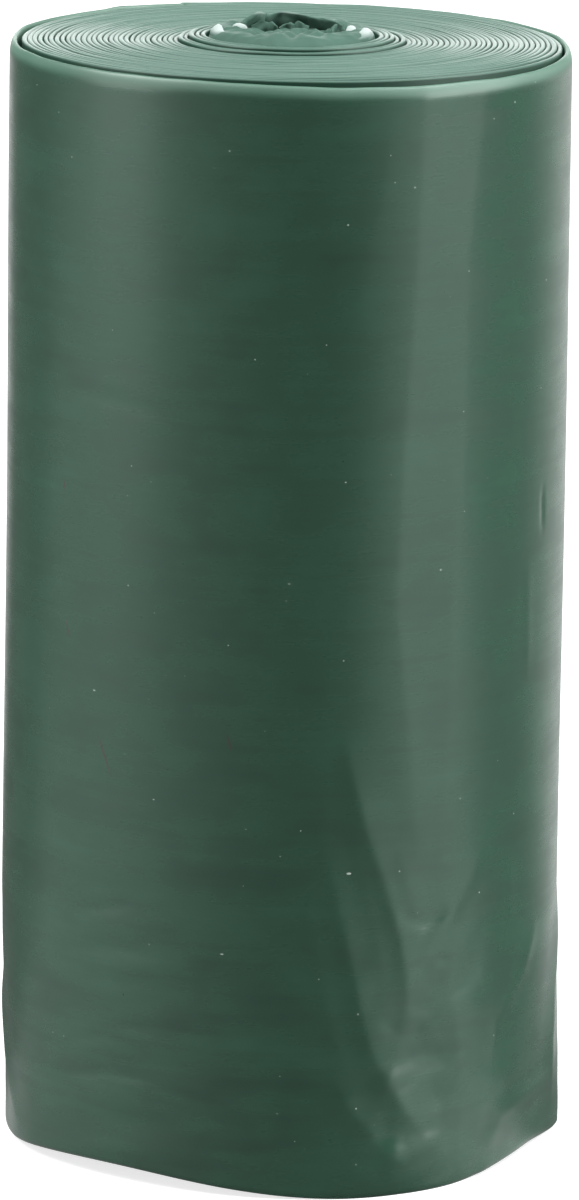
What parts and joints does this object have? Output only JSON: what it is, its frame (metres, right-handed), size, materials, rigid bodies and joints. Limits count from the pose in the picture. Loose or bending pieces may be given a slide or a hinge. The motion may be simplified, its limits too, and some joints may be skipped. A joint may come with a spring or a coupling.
{
  "type": "roll of pet waste bags",
  "caption": "Coreless roll of folded dark green plastic bags, wound from one long web, with a gathered middle; it fits a leash dispenser and bags tear off its free end.",
  "frame": {"origin": "the middle of the foot, on the plane that the hem stands on", "axes": "+Z is the winding axis, from the foot up to the gathered end; -Y is the front; +X is to the right seen from the front"},
  "size_m": [0.0311, 0.031, 0.0622],
  "materials": {
    "film": "satin"
  },
  "bodies": {
    "root": {"bag_roll": "film"}
  },
  "joints": []
}
